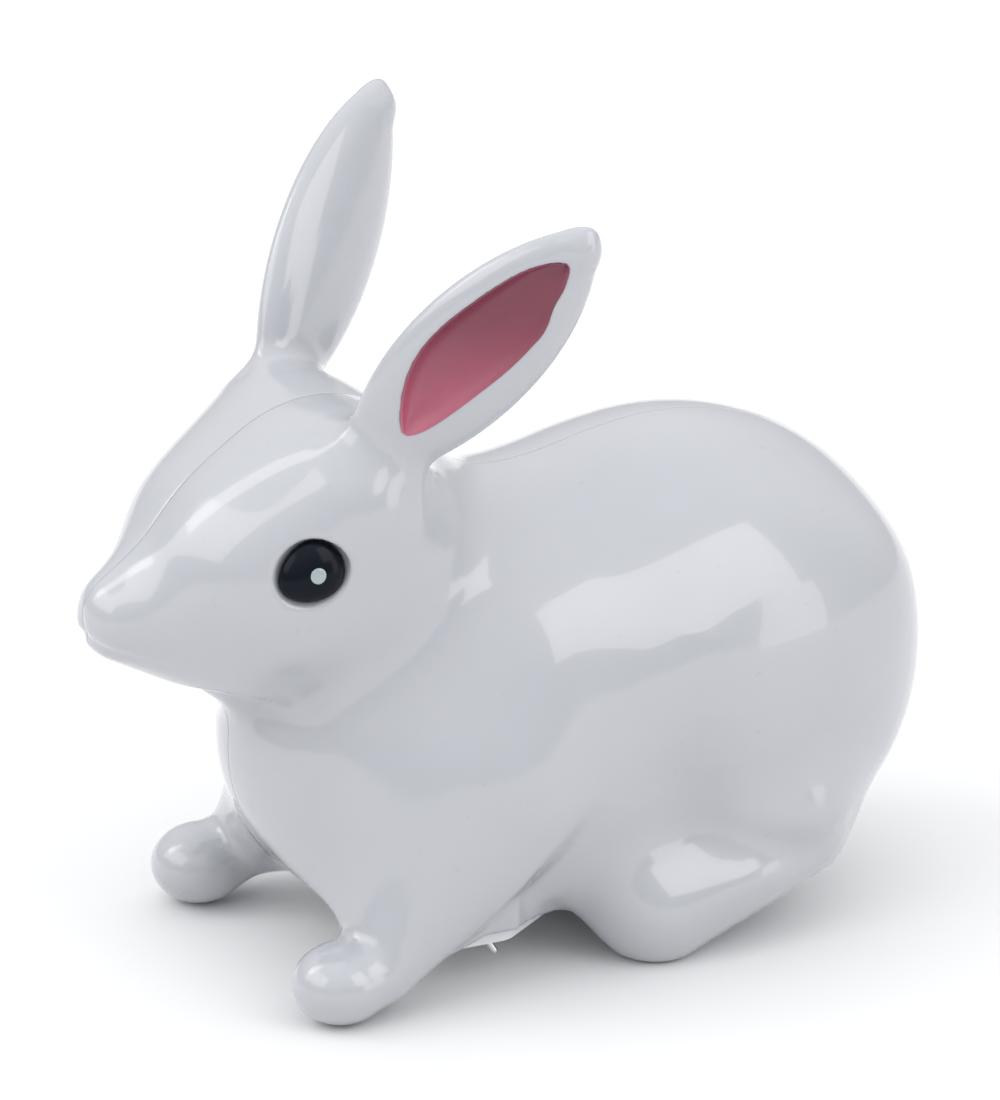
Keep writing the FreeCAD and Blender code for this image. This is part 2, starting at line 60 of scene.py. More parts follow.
RUMP = ((0, 38.0, 53.4), (38.8, 54.0, 49.7))
CHEST = ((0, -9.5, 46.9), (35.1, 46.3, 40.5))
NECK = ((0, 2, 67), 21.0, (0, -29.5, 85.7), 21.0)
SKULL = ((0, -36.8, 90.0), (29.0, 28.6, 28.9))
MUZZLE = ((0, -51.5, 81.7), 23.6, (0, -77.5, 80.0), 9.8)
BROW = ((8.9, -52.0, 89.7), (13.7, 17.1, 14.2))
EAR_BASE = ((7.0, -51.6, 91.2), 11.4, (17.4, -36.3, 105.4), 12.0)
HAUNCH = ((19.2, 47.4, 49.4), (17.7, 35.8, 35.6))
FRONT_LEG = ((17.8, -12.3, 39.4), 22.9, (34.0, -38.0, 10.0), 7.2)
PAW = ((33.5, -47.0, 7.9), (9.4, 10.0, 8.2))
HIND_FOOT = ((29.6, 24.3, 10.3), 12.7, (31.5, 54.5, 22.4), 10.3)

# how far neighbouring forms melt into each other
MELT_TRUNK = 26.0
MELT_NECK = 15.5
MELT_FLOOR = 5.0
MELT_MUZZLE = 9.0
MELT_BROW = 12.0
MELT_EAR_BASE = 13.8
MELT_HEAD = 9.0
MELT_HAUNCH = 15.0
MELT_PAW = 3.5
MELT_FRONT_LEG = 20.0
MELT_HIND_FOOT = 14.5
MELT_LEAF = 3.0
MELT_EAR = 6.0

# ears: a leaf shared by two ellipsoids; x faces outward, y runs across, z runs from root to tip
EAR_ROOT = np.array((19.5, -37.0, 109.3))
EAR_ALONG = np.array((27.4, 37.0, 52.5))
EAR_FACING = np.array((0.80, -0.45, -0.30))
LEAF_R = (7.3, 29.9, 44.9)
LEAF_APART = 16.0
LEAF_MIDDLE_Z = 35.3
LEAF_TIP = (0.0, 1.1, 66.9)
LEAF_TIP_R = 3.35
BOWL_Z = (15.5, 64.3)         # where the ear's hollow begins and ends
BOWL_HALF_WIDTH = 20.0        # factor of the outline s^0.68 (1-s)^0.69, which peaks at 7.7 mm
BOWL_HALF_WIDTH_PEAK = 7.7
BOWL_DEPTH = 5.6
BOWL_MIDDLE = ((0.0, -0.3), (0.15, -1.9), (0.30, -2.5), (0.52, -2.1), (0.76, -1.2), (0.94, -1.0),
               (1.0, -0.2))
LINING_T = 0.24               # thickness of the paint skin, and how far it stands off the hollow
LINING_LIFT = 0.12

EYE_CENTRE = np.array((27.2, -50.1, 93.6))
EYE_NORMAL = np.array((0.96, -0.20, 0.20))
EYE_LONG_AXIS = np.array((0.0, 0.90, 0.42))
EYE_R = (6.9, 6.0, 2.7)
SPOT_AT = (0.7, -0.7)
SPOT_R = 1.6
SPOT_LIFT = 0.10

# dents in the skin: points with the depth there, then the half width
HAUNCH_VALLEY = (((39.5, 31.0, 70.0, 0.0), (41.0, 26.5, 54.0, 1.3), (40.3, 26.0, 40.0, 2.7),
                  (39.9, 30.0, 27.0, 3.0)), 9.0)
HAUNCH_UNDERCUT = (((39.9, 30.0, 27.0, 1.2), (42.4, 38.0, 23.5, 2.4), (42.0, 50.5, 20.5, 2.4),
                    (37.0, 64.5, 22.5, 1.2)), 4.6)
LEG_CREASE = (((43.0, 7.0, 39.0, 0.2), (41.5, 2.5, 29.5, 2.4), (37.5, -4.5, 19.5, 4.2),
               (33.5, -10.5, 13.5, 4.4)), 4.6)
THROAT_CREASE = (((0.0, -66.0, 63.0, 1.0), (7.6, -61.0, 61.0, 3.4), (10.7, -54.5, 58.4, 3.2),
                  (18.0, -48.5, 58.0, 0.8), (24.0, -44.0, 59.0, 0.0)), 3.6)
NECK_FOLD = (((16.0, -17.0, 103.0, 0.5), (19.8, -12.5, 94.6, 0.5), (25.0, -12.0, 84.0, 0.0)), 6.0)
MOUTH_LINE = (((0.0, -86.6, 77.4, 0.7), (4.2, -85.4, 75.6, 0.7), (8.0, -80.5, 73.4, 0.5),
               (10.5, -74.5, 71.8, 0.1)), 1.3)
PHILTRUM = (((0.0, -88.0, 81.5, 0.5), (0.0, -86.6, 77.4, 0.6)), 1.1)
DENTS = (HAUNCH_VALLEY, HAUNCH_UNDERCUT, LEG_CREASE, THROAT_CREASE, NECK_FOLD, MOUTH_LINE, PHILTRUM)
# gentle swellings: centre, height, half width
SWELLS = (((33.0, -1.7, 73.5), 2.8, 14.5), ((40.8, 22.4, 60.8), 1.3, 14.8),
          ((26.0, -52.0, 76.0), 0.9, 11.0), ((25.0, 80.0, 74.0), 2.4, 17.0))

# belly: the base plate's outline and the opening that it covers, left side, mirrored
PLATE_EDGE = ((14.0, -30.5), (31.3, -22.0), (31.3, -9.0), (18.6, 9.0), (17.7, 56.0))
OPENING_EDGE = ((12.0, -20.5), (27.8, -18.5), (27.8, -8.5), (14.9, 9.5), (14.2, 45.0))
PAN_H = 7.0
PAN_MARGIN = 2.4


def ellipsoid(p, centre, radii):
    """Distance to an ellipsoid, near enough for melting forms together."""
    q = p - np.array(centre, float)
    r = np.array(radii, float)
    k0 = np.linalg.norm(q / r, axis=-1)
    k1 = np.linalg.norm(q / r ** 2, axis=-1) + 1e-9
    return k0 * (k0 - 1) / k1


def limb(p, a, ra, b, rb):
    """Distance to the hull of two balls."""
    a = np.array(a, float)
    ax = np.array(b, float) - a
    length = np.linalg.norm(ax)
    rel = p - a
    along = rel @ ax / length
    across = np.sqrt(np.maximum((rel * rel).sum(-1) - along ** 2, 0))
    s = (ra - rb) / length
    c = math.sqrt(1 - s * s)
    foot = along - across * s / c
    d = across * c + along * s - ra
    d = np.where(foot <= 0, np.sqrt(across ** 2 + along ** 2) - ra, d)
    return np.where(foot >= length, np.sqrt(across ** 2 + (along - length) ** 2) - rb, d)


def melt(a, b, k):
    """a and b together, with the crease between them filled over k."""
    h = np.maximum(k - np.abs(a - b), 0) / k
    return np.minimum(a, b) - h * h * k / 4


def carve(a, b, k):
    """a without b, with the edge rounded over k."""
    return -melt(-a, b, k)


def basis(normal, hint):
    """Columns x, y, z of a frame with z along normal and x near hint."""
    z = normal / np.linalg.norm(normal)
    x = hint - z * (hint @ z)
    x = x / np.linalg.norm(x)
    return np.stack([x, np.cross(z, x), z], 1)


def prism(p, edge, z0, z1, round_r):
    """Distance to an upright prism over a convex-ish outline mirrored in X."""
    pts = [np.array(q, float) for q in edge]
    pts = pts + [np.array((-q[0], q[1])) for q in reversed(edge)]
    xy = p[..., :2]
    best = np.full(xy.shape[:-1], 1e9)
    inside = np.zeros(xy.shape[:-1], bool)
    for i, a in enumerate(pts):
        b = pts[(i + 1) % len(pts)]
        e = b - a
        w = xy - a
        t = np.clip((w @ e) / (e @ e), 0, 1)
        best = np.minimum(best, np.linalg.norm(w - t[..., None] * e, axis=-1))
        over = (a[1] > xy[..., 1]) != (b[1] > xy[..., 1])
        cross_x = a[0] + (xy[..., 1] - a[1]) * e[0] / (e[1] if abs(e[1]) > 1e-9 else 1e-9)
        inside ^= over & (xy[..., 0] < cross_x)
    flat = np.where(inside, -best, best) - round_r
    high = np.maximum(z0 - p[..., 2], p[..., 2] - z1)
    return np.maximum(flat, high)


def dent(p, path, width):
    """How deep a dent along a path of (x, y, z, depth) points presses into the skin at p."""
    best = np.full(p.shape[:-1], 1e9)
    depth = np.zeros(p.shape[:-1])
    for a, b in zip(path[:-1], path[1:]):
        a = np.array(a, float)
        b = np.array(b, float)
        e = b[:3] - a[:3]
        w = p - a[:3]
        t = np.clip((w @ e) / (e @ e), 0, 1)
        d = np.linalg.norm(w - t[..., None] * e, axis=-1)
        nearer = d < best
        best = np.where(nearer, d, best)
        depth = np.where(nearer, a[3] + t * (b[3] - a[3]), depth)
    return depth * np.exp(-(best / width) ** 2)


def swell(p, centre, height, width):
    """How far a round swelling lifts the skin at p."""
    return height * np.exp(-((p - np.array(centre)) ** 2).sum(-1) / width ** 2)


EAR_TURN = basis(EAR_ALONG, EAR_FACING)
EYE_TURN = basis(EYE_NORMAL, EYE_LONG_AXIS)
BOWL_BEND = np.polyfit(*zip(*BOWL_MIDDLE), 5)


def bowl_outline(z):
    """Middle and half width of the ear's hollow at height z, and the share s of its length."""
    s = np.clip((z - BOWL_Z[0]) / (BOWL_Z[1] - BOWL_Z[0]), 0, 1)
    return np.polyval(BOWL_BEND, s), BOWL_HALF_WIDTH * s ** 0.68 * (1 - s) ** 0.69, s


def bowl_surface(y, z):
    """Height x of the hollow's surface; past the outline it climbs away from the leaf."""
    middle, half, s = bowl_outline(z)
    rx, ry, rz = LEAF_R
    share = ((np.sqrt(y * y + 4.0) + LEAF_APART) / ry) ** 2 + ((z - LEAF_MIDDLE_Z) / rz) ** 2
    front = rx * np.sqrt(np.maximum(1 - share, 0.02))
    past = np.maximum(np.maximum(BOWL_Z[0] - z, z - BOWL_Z[1]), 0)
    t = np.abs(y - middle) / np.maximum(half, 0.3)
    inside = BOWL_DEPTH * (half / BOWL_HALF_WIDTH_PEAK) ** 0.7 * np.maximum(1 - t * t, 0) ** 0.8
    inside = inside * (1 - 0.25 * np.clip((y - middle) / np.maximum(half, 0.3), -1, 1))
    return front - inside + 1.3 * np.maximum(t - 1, 0) * np.maximum(half, 0.3) + 1.3 * past


def ear_forms(p):
    """Distance to the ear's leaf, and to the hollow that is cut from it."""
    q = (p - EAR_ROOT) @ EAR_TURN
    near = ellipsoid(q, (0, LEAF_APART, LEAF_MIDDLE_Z), LEAF_R)
    far = ellipsoid(q, (0, -LEAF_APART, LEAF_MIDDLE_Z), LEAF_R)
    leaf = -melt(-near, -far, MELT_LEAF)
    leaf = melt(leaf, np.linalg.norm(q - np.array(LEAF_TIP), axis=-1) - LEAF_TIP_R, MELT_LEAF)
    bowl = (bowl_surface(q[..., 1], q[..., 2]) - q[..., 0]) * 0.72
    return leaf, bowl


def rabbit(p0):
    """Distance outside (+) or inside (-) the whole moulding."""
    p = p0.copy()
    p[..., 0] = np.abs(p[..., 0])
    d = melt(ellipsoid(p, *RUMP), ellipsoid(p, *CHEST), MELT_TRUNK)
    d = melt(d, limb(p, *NECK), MELT_NECK)
    d = carve(d, p[..., 2] - FLOOR_Z, MELT_FLOOR)
    head = melt(ellipsoid(p, *SKULL), limb(p, *MUZZLE), MELT_MUZZLE)
    head = melt(head, ellipsoid(p, *BROW), MELT_BROW)
    head = melt(head, limb(p, *EAR_BASE), MELT_EAR_BASE)
    d = melt(d, head, MELT_HEAD)
    d = melt(d, ellipsoid(p, *HAUNCH), MELT_HAUNCH)
    leg = melt(limb(p, *FRONT_LEG), ellipsoid(p, *PAW), MELT_PAW)
    d = melt(d, leg, MELT_FRONT_LEG)
    d = melt(d, limb(p, *HIND_FOOT), MELT_HIND_FOOT)
    for path, width in DENTS:
        d = d + dent(p, path, width)
    for bump in SWELLS:
        d = d - swell(p, *bump)
    pan = prism(p, PLATE_EDGE, FLOOR_Z, FLOOR_Z + PAN_H, PAN_MARGIN)
    d = melt(d, pan, 3.0)
    d = carve(d, prism(p, PLATE_EDGE, -5.0, FLOOR_Z, 0.3), 0.4)
    leaf, bowl = ear_forms(p)
    near_leaf = leaf < 3.0
    d = melt(d, leaf, MELT_EAR)
    d = np.where(near_leaf, carve(d, bowl, 1.0), d)
    socket = ellipsoid((p - EYE_CENTRE) @ EYE_TURN, (0, 0, 0.9), (EYE_R[0] + 0.8, EYE_R[1] + 0.8, 3.6))
    d = carve(d, socket, 1.2)
    return carve(d, p[..., 2], 1.0)


def slope(f, p, step=0.15):
    """Gradient of f at the points p."""
    g = np.zeros(p.shape)
    for k in range(3):
        e = np.zeros(3)
        e[k] = step
        g[:, k] = (f(p + e) - f(p - e)) / (2 * step)
    return g


def settle(f, p, rounds=3):
    """Moves points onto the surface where f is zero."""
    for _ in range(rounds):
        g = slope(f, p)
        n2 = np.maximum((g * g).sum(1), 0.05)
        p = p - g * np.clip(f(p) / n2, -1.0, 1.0)[:, None]
    return p


def surface_net(f, low, high, cell):
    """Quad mesh of f = 0 between two corners, one vertex per crossed cell."""
    axes = [np.arange(low[k], high[k] + cell, cell) for k in range(3)]
    shape = [len(a) for a in axes]
    values = np.empty(shape, np.float32)
    yy, zz = np.meshgrid(axes[1], axes[2], indexing="ij")
    for i, x in enumerate(axes[0]):
        values[i] = f(np.stack([np.full(yy.shape, x), yy, zz], -1))
    inside = values < 0
    corner = [inside[i:shape[0] - 1 + i, j:shape[1] - 1 + j, k:shape[2] - 1 + k]
              for i in (0, 1) for j in (0, 1) for k in (0, 1)]
    count = sum(c.astype(np.int8) for c in corner)
    crossed = (count > 0) & (count < 8)
    cells = np.argwhere(crossed)
    total = np.zeros((len(cells), 3))
    hits = np.zeros(len(cells))
    offsets = [(i, j, k) for i in (0, 1) for j in (0, 1) for k in (0, 1)]
    for a in offsets:
        for k in range(3):
            if a[k] == 1:
                continue
            b = list(a)
            b[k] = 1
            va = values[tuple((cells + a).T)].astype(float)
            vb = values[tuple((cells + b).T)].astype(float)
            cut = (va < 0) != (vb < 0)
            t = np.where(cut, va / np.where(cut, va - vb, 1), 0)
            point = cells + np.array(a, float)
            point[:, k] += t
            total[cut] += point[cut]
            hits += cut
    verts = np.array(low) + cell * total / hits[:, None]
    index = np.full(crossed.shape, -1, np.int64)
    index[tuple(cells.T)] = np.arange(len(cells))
    quads = []
    for k in range(3):
        lo = [slice(None)] * 3
        hi = [slice(None)] * 3
        lo[k] = slice(0, shape[k] - 1)
        hi[k] = slice(1, shape[k])
        edge = inside[tuple(lo)] != inside[tuple(hi)]
        where = np.argwhere(edge)
        u, v = [(1, 2), (2, 0), (0, 1)][k]
        ok = (where[:, u] > 0) & (where[:, v] > 0)
        ok &= (where[:, u] < shape[u] - 1) & (where[:, v] < shape[v] - 1)
        where = where[ok]
        du = np.zeros(3, int)
        dv = np.zeros(3, int)
        du[u] = 1
        dv[v] = 1
        ring = [where - du - dv, where - dv, where, where - du]
        quad = np.stack([index[tuple(r.T)] for r in ring], 1)
        flip = inside[tuple(where.T)]
        quad[~flip] = quad[~flip][:, ::-1]
        quads.append(quad)
    return verts, np.concatenate(quads)


def build_mesh(name, verts, faces):
    mesh = bpy.data.meshes.new(name)
    shifted = (np.asarray(verts) - np.array((0.0, MIDDLE_Y, 0.0))) * MM
    mesh.from_pydata([tuple(v) for v in shifted], [], [tuple(int(i) for i in f) for f in faces])
    mesh.update()
    mesh.polygons.foreach_set("use_smooth", [True] * len(mesh.polygons))
    obj = bpy.data.objects.new(name, mesh)
    bpy.context.scene.collection.objects.link(obj)
    return obj


# ---- materials ----------------------------------------------------------------------------------


def material(name, colour, roughness, coat=0.0, coat_roughness=0.05, metallic=0.0, scatter=0.0,
             mottle=0.03, mottle_scale=60.0, rough_spread=0.06, grain=0.0, grain_scale=900.0,
             wave=0.0, wave_scale=35.0, specks=0.0, specular=0.5, painted_shade_fade=None):
    """Principled surface with slight colour drift, uneven gloss, moulding waviness, fine grain and, when
    asked, painted shade that darkens the colour above a given height.
    """
    mat = bpy.data.materials.new(name)
    mat.use_nodes = True
    tree = mat.node_tree
    nodes, links = tree.nodes, tree.links
    bsdf = nodes["Principled BSDF"]
    coords = nodes.new("ShaderNodeTexCoord")
    drift = nodes.new("ShaderNodeTexNoise")
    drift.inputs["Scale"].default_value = mottle_scale
    drift.inputs["Detail"].default_value = 4.0
    links.new(coords.outputs["Object"], drift.inputs["Vector"])
    ramp = nodes.new("ShaderNodeValToRGB")
    low = [max(c * (1 - mottle), 0) for c in colour]
    high = [min(c * (1 + mottle), 1) for c in colour]
    ramp.color_ramp.elements[0].position = 0.3
    ramp.color_ramp.elements[1].position = 0.7
    ramp.color_ramp.elements[0].color = (*low, 1)
    ramp.color_ramp.elements[1].color = (*high, 1)
    links.new(drift.outputs["Fac"], ramp.inputs["Fac"])
    base = ramp.outputs["Color"]
    if specks:
        dots = nodes.new("ShaderNodeTexNoise")
        dots.inputs["Scale"].default_value = 420.0
        dots.inputs["Detail"].default_value = 1.0
        links.new(coords.outputs["Object"], dots.inputs["Vector"])
        pick = nodes.new("ShaderNodeMapRange")
        pick.inputs["From Min"].default_value = 0.74
        pick.inputs["From Max"].default_value = 0.80
        pick.inputs["To Max"].default_value = specks
        links.new(dots.outputs["Fac"], pick.inputs["Value"])
        mix = nodes.new("ShaderNodeMix")
        mix.data_type = "RGBA"
        mix.inputs["B"].default_value = (*[c * 0.75 for c in colour], 1)
        links.new(pick.outputs["Result"], mix.inputs["Factor"])
        links.new(base, mix.inputs["A"])
        base = mix.outputs["Result"]
    # painted shade: from height z0 to z1 the colour is multiplied towards a darker tint, standing in for
    # shade
    if painted_shade_fade:
        z0, z1, shade_tint = painted_shade_fade
        height = nodes.new("ShaderNodeSeparateXYZ")
        links.new(coords.outputs["Object"], height.inputs["Vector"])
        share = nodes.new("ShaderNodeMapRange")
        share.interpolation_type = "SMOOTHSTEP"
        share.inputs["From Min"].default_value = z0 * MM
        share.inputs["From Max"].default_value = z1 * MM
        links.new(height.outputs["Z"], share.inputs["Value"])
        blend = nodes.new("ShaderNodeMix")
        blend.data_type = "RGBA"
        blend.blend_type = "MULTIPLY"
        blend.inputs["B"].default_value = (*shade_tint, 1)
        links.new(share.outputs["Result"], blend.inputs["Factor"])
        links.new(base, blend.inputs["A"])
        base = blend.outputs["Result"]
    links.new(base, bsdf.inputs["Base Color"])
    smudge = nodes.new("ShaderNodeTexNoise")
    smudge.inputs["Scale"].default_value = 38.0
    smudge.inputs["Detail"].default_value = 6.0
    smudge.inputs["Roughness"].default_value = 0.65
    links.new(coords.outputs["Object"], smudge.inputs["Vector"])
    gloss = nodes.new("ShaderNodeMapRange")
    gloss.inputs["From Min"].default_value = 0.3
    gloss.inputs["From Max"].default_value = 0.7
    gloss.inputs["To Min"].default_value = max(roughness - rough_spread, 0.02)
    gloss.inputs["To Max"].default_value = roughness + rough_spread
    links.new(smudge.outputs["Fac"], gloss.inputs["Value"])
    links.new(gloss.outputs["Result"], bsdf.inputs["Roughness"])
    normal = None
    for strength, scale, distance in ((wave, wave_scale, 0.002), (grain, grain_scale, 0.0004)):
        if not strength:
            continue
        noise = nodes.new("ShaderNodeTexNoise")
        noise.inputs["Scale"].default_value = scale
        noise.inputs["Detail"].default_value = 2.0
        links.new(coords.outputs["Object"], noise.inputs["Vector"])
        bump = nodes.new("ShaderNodeBump")
        bump.inputs["Strength"].default_value = strength
        bump.inputs["Distance"].default_value = distance
        links.new(noise.outputs["Fac"], bump.inputs["Height"])
        if normal is not None:
            links.new(normal, bump.inputs["Normal"])
        normal = bump.outputs["Normal"]
    if normal is not None:
        links.new(normal, bsdf.inputs["Normal"])
    bsdf.inputs["Metallic"].default_value = metallic
    bsdf.inputs["Specular IOR Level"].default_value = specular
    bsdf.inputs["Coat Weight"].default_value = coat
    bsdf.inputs["Coat Roughness"].default_value = coat_roughness
    if scatter:
        bsdf.inputs["Subsurface Weight"].default_value = scatter
        bsdf.inputs["Subsurface Radius"].default_value = (1.0, 0.9, 0.8)
        bsdf.inputs["Subsurface Scale"].default_value = 0.004
    return mat


MATS = {
    "shell_white": material("shell_white_plastic", (0.44, 0.448, 0.48), 0.20, coat=1.0, coat_roughness=0.03,
                            scatter=0.10, mottle=0.012, rough_spread=0.04, wave=0.02, specks=0.25),
    "plate_white": material("plate_white_plastic", (0.68, 0.69, 0.71), 0.38, coat=0.1, mottle=0.02,
                            grain=0.06),
    "cap_white": material("cap_white_plastic", (0.60, 0.61, 0.64), 0.33, coat=0.2, mottle=0.02, grain=0.05),
    "seal_rubber": material("seal_rubber", (0.03, 0.03, 0.033), 0.55, mottle=0.1, grain=0.1),
    "screw_steel": material("screw_steel", (0.60, 0.60, 0.61), 0.28, metallic=1.0, mottle=0.05, grain=0.08),
    "valve_plastic": material("valve_plastic", (0.66, 0.66, 0.64), 0.40, mottle=0.02, grain=0.05),
    "pin_steel": material("pin_steel", (0.66, 0.66, 0.68), 0.20, metallic=1.0, mottle=0.03, grain=0.03),
    "eye_black": material("eye_black_gloss", (0.002, 0.004, 0.009), 0.16, coat=0.0, mottle=0.1,
                          rough_spread=0.03, specular=0.15),
    "eye_spot": material("eye_spot_print", (0.33, 0.38, 0.39), 0.15, coat=1.0, coat_roughness=0.03,
                         mottle=0.03),
    # painted shade: the pink darkens from 118 to 148 mm up, towards the ear tips, where the hollow lies in
    # shade
    "ear_pink": material("ear_pink_paint", (0.45, 0.112, 0.174), 0.38, coat=0.15, coat_roughness=0.15,
                         mottle=0.05, mottle_scale=90.0, rough_spread=0.08, grain=0.10, grain_scale=1400.0,
                         painted_shade_fade=(118.0, 148.0, (0.42, 0.31, 0.36))),
}


def finish_piece(obj, body, slot, *stands_for):
    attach(obj, body)
    obj.data.materials.clear()
    obj.data.materials.append(MATS[slot])
    if stands_for:
        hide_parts(*stands_for)
    return obj


# ---- shells -------------------------------------------------------------------------------------
verts, quads = surface_net(rabbit, GRID_LOW, GRID_HIGH, GRID)
verts = settle(rabbit, verts)


def in_opening(point):
    """True inside the belly opening, which the base plate covers."""
    p = np.array([[abs(point.x) / MM, point.y / MM + MIDDLE_Y, FLOOR_Z]])
    return prism(p, OPENING_EDGE, -50.0, 50.0, 0.0)[0] < 0


def make_shell(name, side):
    v = verts * np.array((side, 1.0, 1.0))
    q = quads if side > 0 else quads[:, ::-1]
    obj = build_mesh(name, v, q)
    bm = bmesh.new()
    bm.from_mesh(obj.data)
    geom = bm.verts[:] + bm.edges[:] + bm.faces[:]
    bmesh.ops.bisect_plane(bm, geom=geom, dist=1e-6, plane_co=(side * SEAM_GAP * MM, 0, 0),
                           plane_no=(side, 0, 0), clear_inner=True)
    geom = bm.verts[:] + bm.edges[:] + bm.faces[:]
    bmesh.ops.bisect_plane(bm, geom=geom, dist=1e-6, plane_co=(side * SEAM_BEVEL * MM, 0, 0),
                           plane_no=(side, 0, 0))
    bm.normal_update()
    rim = [v for v in bm.verts if abs(v.co.x) < SEAM_GAP * MM * 1.5]
    pushed = [(v, v.co - v.normal * SEAM_DEPTH * MM) for v in rim]
    for v, co in pushed:
        v.co = (v.co.x, co.y, co.z)
    low = [f for f in bm.faces if f.calc_center_median().z < (FLOOR_Z + 2.0) * MM and f.normal.z < -0.5]
    doomed = [f for f in low if in_opening(f.calc_center_median())]
    bmesh.ops.delete(bm, geom=doomed, context="FACES")
    bm.to_mesh(obj.data)
    bm.free()
    wall = obj.modifiers.new("wall", "SOLIDIFY")
    wall.thickness = WALL * MM
    wall.offset = -1.0
    wall.use_rim = True
    return finish_piece(obj, "tank", "shell_white", name.replace("visual_", ""))


for side_name, sign in SIDES:
    make_shell("visual_%s_body_shell" % side_name, sign)


# ---- ear linings --------------------------------------------------------------------------------


def make_lining(name, side):
    """Painted skin on the ear's hollow, settled on the moulding and raised a little off it."""
    rows, cols = 90, 40
    ease = (1 - np.cos(np.linspace(0.06, math.pi - 0.04, rows + 1))) / 2
    z = BOWL_Z[0] + ease * (BOWL_Z[1] - BOWL_Z[0])
    middle, half, s = bowl_outline(z)
    ripple = 1 + 0.05 * np.exp(-((s - 0.70) / 0.05) ** 2) - 0.06 * np.exp(-((s - 0.83) / 0.06) ** 2)
    t = np.linspace(-1, 1, cols + 1)
    wide = np.where(t[None, :] > 0, ripple[:, None], 1.0)
    y = middle[:, None] + half[:, None] * t[None, :] * wide
    zz = np.repeat(z[:, None], cols + 1, 1)
    local = np.stack([bowl_surface(y, zz), y, zz], -1).reshape(-1, 3)
    p = settle(rabbit, EAR_ROOT + local @ EAR_TURN.T, 4)
    g = slope(rabbit, p)
    p = p + g / np.linalg.norm(g, axis=1)[:, None] * LINING_LIFT
    faces = []
    for i in range(rows):
        for j in range(cols):
            a = i * (cols + 1) + j
            face = (a, a + 1, a + cols + 2, a + cols + 1)
            faces.append(face if side > 0 else face[::-1])
    obj = build_mesh(name, p * np.array((side, 1.0, 1.0)), faces)
    skin = obj.modifiers.new("paint", "SOLIDIFY")
    skin.thickness = LINING_T * MM
    skin.offset = 0.0
    return finish_piece(obj, "tank", "ear_pink", name.replace("visual_", ""))


for side_name, sign in SIDES:
    make_lining("visual_%s_ear_lining" % side_name, sign)


# ---- eyes ---------------------------------------------------------------------------------------


def dome_point(turn, drop, radii, lift=0.0):
    """Point on the eye's dome; the rear end is a little fuller than the front one."""
    full = 1.0 + 0.15 * math.cos(turn)
    x = (radii[0] + lift) * math.sin(drop) * math.cos(turn)
    y = (radii[1] + lift) * math.sin(drop) * math.sin(turn) * full
    z = (radii[2] + lift) * math.cos(drop)
    return np.array((x, y, z))


def make_eye(name, side):
    segs, rings = 72, 26
    pts = [dome_point(0.0, 0.0, EYE_R)]
    for i in range(1, rings + 1):
        drop = math.radians(118.0) * i / rings
        pts += [dome_point(2 * math.pi * j / segs, drop, EYE_R) for j in range(segs)]
    faces = [(0, 1 + j, 1 + (j + 1) % segs) for j in range(segs)]
    for i in range(rings - 1):
        for j in range(segs):
            a = 1 + i * segs
            k = (j + 1) % segs
            faces.append((a + j, a + segs + j, a + segs + k, a + k))
    last = 1 + (rings - 1) * segs
    faces.append(tuple(last + j for j in reversed(range(segs))))
    if side < 0:
        faces = [f[::-1] for f in faces]
    world = (EYE_CENTRE + np.array(pts) @ EYE_TURN.T) * np.array((side, 1.0, 1.0))
    return finish_piece(build_mesh(name, world, faces), "tank", "eye_black", name.replace("visual_", ""))


def make_spot(name, side):
    segs, rings = 40, 8
    pts = []
    for i in range(rings + 1):
        r = SPOT_R * i / rings
        for j in range(segs):
            a = 2 * math.pi * j / segs
            x = SPOT_AT[0] + r * math.cos(a)
            y = SPOT_AT[1] + r * math.sin(a)
            lift = SPOT_LIFT * (1 - (i / rings) ** 6)
            z = EYE_R[2] * math.sqrt(1 - (x / EYE_R[0]) ** 2 - (y / EYE_R[1]) ** 2) + lift
            pts.append((x, y, z))
    faces = []
    for i in range(1, rings):
        for j in range(segs):
            k = (j + 1) % segs
            faces.append((i * segs + j, (i + 1) * segs + j, (i + 1) * segs + k, i * segs + k))
    centre = len(pts)
    pts.append((SPOT_AT[0], SPOT_AT[1], pts[0][2]))
    faces += [(centre, segs + j, segs + (j + 1) % segs) for j in range(segs)]
    pts = np.array(pts)[segs:]
    faces = [tuple(i - segs for i in f) for f in faces]
    if side < 0:
        faces = [f[::-1] for f in faces]
    world = (EYE_CENTRE + pts @ EYE_TURN.T) * np.array((side, 1.0, 1.0))
    return finish_piece(build_mesh(name, world, faces), "tank", "eye_spot", name.replace("visual_", ""))


for side_name, sign in SIDES:
    make_eye("visual_%s_eye" % side_name, sign)
    make_spot("visual_%s_eye_spot" % side_name, sign)

# ---- fittings that stay as the CAD made them ----------------------------------------------------
for entry in frame["record"]["subparts"]:
    node = frame["nodes"][entry["node"]]
    node.data.materials.clear()
    node.data.materials.append(MATS[entry["material_slot"]])

# ---- floor, light and camera --------------------------------------------------------------------
floor_mat = bpy.data.materials.new("studio_floor")
floor_mat.use_nodes = True
floor_bsdf = floor_mat.node_tree.nodes["Principled BSDF"]
floor_bsdf.inputs["Base Color"].default_value = (0.82, 0.82, 0.82, 1)
floor_bsdf.inputs["Roughness"].default_value = 0.7
bpy.ops.mesh.primitive_plane_add(size=12.0, location=(0, 0, -0.0002))
floor = bpy.context.object
floor.name = "studio_floor"
floor.data.materials.append(floor_mat)

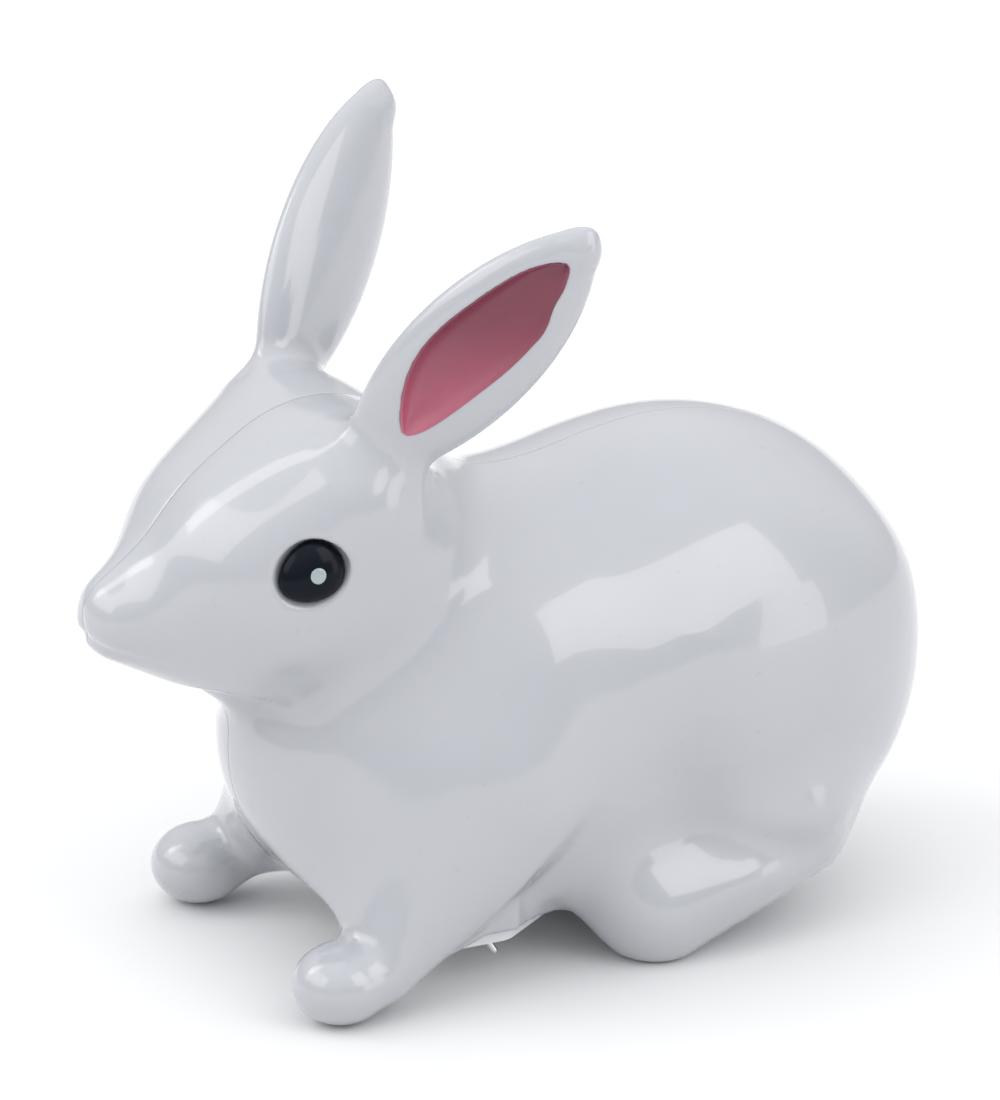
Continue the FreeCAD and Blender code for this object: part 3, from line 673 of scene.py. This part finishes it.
world = bpy.data.worlds.new("studio")
world.use_nodes = True
sky = world.node_tree
sky_coords = sky.nodes.new("ShaderNodeTexCoord")
sky_split = sky.nodes.new("ShaderNodeSeparateXYZ")
sky_ramp = sky.nodes.new("ShaderNodeValToRGB")
sky_ramp.color_ramp.interpolation = "EASE"
sky_ramp.color_ramp.elements[0].color = (0.60, 0.605, 0.62, 1)
sky_ramp.color_ramp.elements[1].color = (1.38, 1.39, 1.41, 1)
sky.links.new(sky_coords.outputs["Generated"], sky_split.inputs["Vector"])
sky.links.new(sky_split.outputs["Z"], sky_ramp.inputs["Fac"])
sky.links.new(sky_ramp.outputs["Color"], sky.nodes["Background"].inputs["Color"])
sky.nodes["Background"].inputs["Strength"].default_value = 1.0
bpy.context.scene.world = world
bpy.context.scene.view_settings.view_transform = "Standard"

CENTRE = Vector((0.0, 0.0, 0.07))


def direction(azimuth, elevation):
    a, e = math.radians(azimuth), math.radians(elevation)
    return Vector((math.sin(a) * math.cos(e), -math.cos(a) * math.cos(e), math.sin(e)))


def softbox(name, azimuth, elevation, distance, width, height, brightness):
    """Rectangular panel; brightness is its radiance beside the world's."""
    light = bpy.data.lights.new(name, "AREA")
    light.shape = "RECTANGLE"
    light.size = width
    light.size_y = height
    light.energy = brightness * math.pi * width * height
    obj = bpy.data.objects.new(name, light)
    bpy.context.scene.collection.objects.link(obj)
    away = direction(azimuth, elevation)
    obj.location = CENTRE + away * distance
    obj.rotation_euler = away.to_track_quat("Z", "Y").to_euler()


softbox("window_upper", 118.7, 33.9, 2.5, 1.27, 1.59, 1.6)
softbox("window_lower", 128.4, 6.3, 2.5, 0.68, 0.86, 1.5)
softbox("strip_front", -30, 43, 1.3, 0.30, 0.70, 1.7)
softbox("fill_front", -5, 34, 2.2, 2.6, 1.2, 1.3)

PHOTO_AZ, PHOTO_EL = 64.0, 22.0
LENS = 400.0
HEIGHT_SEEN = 0.220
camera_data = bpy.data.cameras.new("camera")
camera_data.lens = LENS
camera_data.sensor_width = 36.0
camera = bpy.data.objects.new("camera", camera_data)
bpy.context.scene.collection.objects.link(camera)
away = direction(PHOTO_AZ, PHOTO_EL)
across = Vector((math.cos(math.radians(PHOTO_AZ)), math.sin(math.radians(PHOTO_AZ)), 0.0))
upward = away.cross(across)
aim = Vector((0.0, -0.0458 - MIDDLE_Y * MM, 0.0)) + across * 0.045 + upward * 0.0814
aim += away * ((Vector((0.0, 0.0, 0.06)) - aim).dot(away))
camera.location = aim + away * (HEIGHT_SEEN * LENS / 36.0)
camera.rotation_euler = away.to_track_quat("Z", "Y").to_euler()
camera_data.clip_end = 50.0
bpy.context.scene.camera = camera
